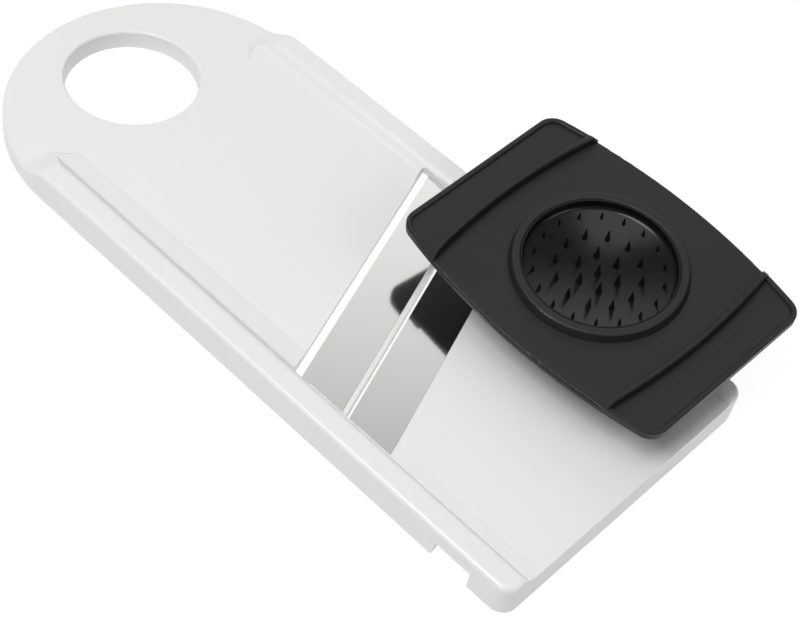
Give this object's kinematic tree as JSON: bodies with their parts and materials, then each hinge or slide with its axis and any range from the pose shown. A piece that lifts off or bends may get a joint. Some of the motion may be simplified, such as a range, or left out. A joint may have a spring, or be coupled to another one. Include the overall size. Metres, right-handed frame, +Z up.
{
  "type": "mandoline slicer",
  "caption": "Flat hand-held slicing board with a round finger hole, side rails and skewed fixed blades, and a loose spiked food guard lying upside down across its foot.",
  "frame": {"origin": "on the axis of the hang hole in the head, in the plane of the bottom edge that the board stands on", "axes": "+X from the head to the foot, +Y across the board to the rail that the guard's knob stands on, +Z up out of the tables"},
  "size_m": [0.2464, 0.1307, 0.0353],
  "materials": {
    "white_plastic": "satin moulded",
    "blade_steel": "polished stainless",
    "black_plastic": "fine-textured satin",
    "black_gloss_plastic": "gloss moulded",
    "screw_steel": "zinc plated"
  },
  "bodies": {
    "board": {"board": "white_plastic", "front_blade": "blade_steel", "rear_blade": "blade_steel"},
    "guard": {"guard_plate": "black_plastic", "spike_disc": "black_gloss_plastic", "knob": "black_plastic", "knob_screw": "screw_steel"}
  },
  "joints": [
    {"name": "guard_lift", "type": "slide", "parent": "board", "child": "guard", "axis": [0, 0, 1], "range_m": [0, 0.06]}
  ]
}
